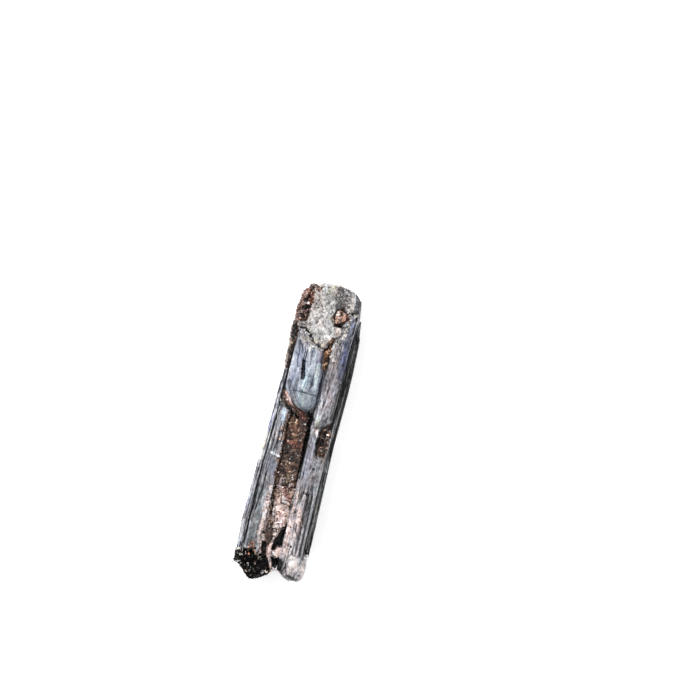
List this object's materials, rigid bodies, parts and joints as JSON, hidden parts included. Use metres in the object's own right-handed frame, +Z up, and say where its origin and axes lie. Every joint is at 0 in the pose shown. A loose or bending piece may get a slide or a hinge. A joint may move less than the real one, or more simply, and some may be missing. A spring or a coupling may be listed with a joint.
{
  "type": "kyanite blade cluster",
  "caption": "Bundle of parallel kyanite blades with mica in the channel between them, a schist cap on one end and a broken mica foot, lying on its back.",
  "frame": {"origin": "middle of the underside of the cluster's box", "axes": "+Y along the blades towards the schist cap, +X across the blades, +Z up from the side it lies on"},
  "size_m": [0.0148, 0.061, 0.0092],
  "materials": {
    "kyanite_grey": "satin",
    "kyanite_blue": "gloss",
    "kyanite_rim": "satin",
    "mica_brown": "satin",
    "mica_pink": "satin",
    "schist": "satin"
  },
  "bodies": {
    "root": {"left_rim_outer": "kyanite_rim", "left_rim_inner": "kyanite_rim", "left_blade": "kyanite_grey", "middle_blade": "kyanite_grey", "right_blade": "kyanite_grey", "right_rim_inner": "kyanite_rim", "right_rim_outer": "kyanite_rim", "inset_blade": "kyanite_blue", "upper_right_blade": "kyanite_blue", "cap_schist": "schist", "nugget_mica": "mica_brown", "crown_mica": "mica_brown", "left_edge_mica": "mica_brown", "seam_mica": "mica_brown", "channel_mica": "mica_brown", "channel_muscovite": "mica_pink", "pocket_mica": "mica_brown", "foot_mica": "mica_brown"}
  },
  "joints": []
}
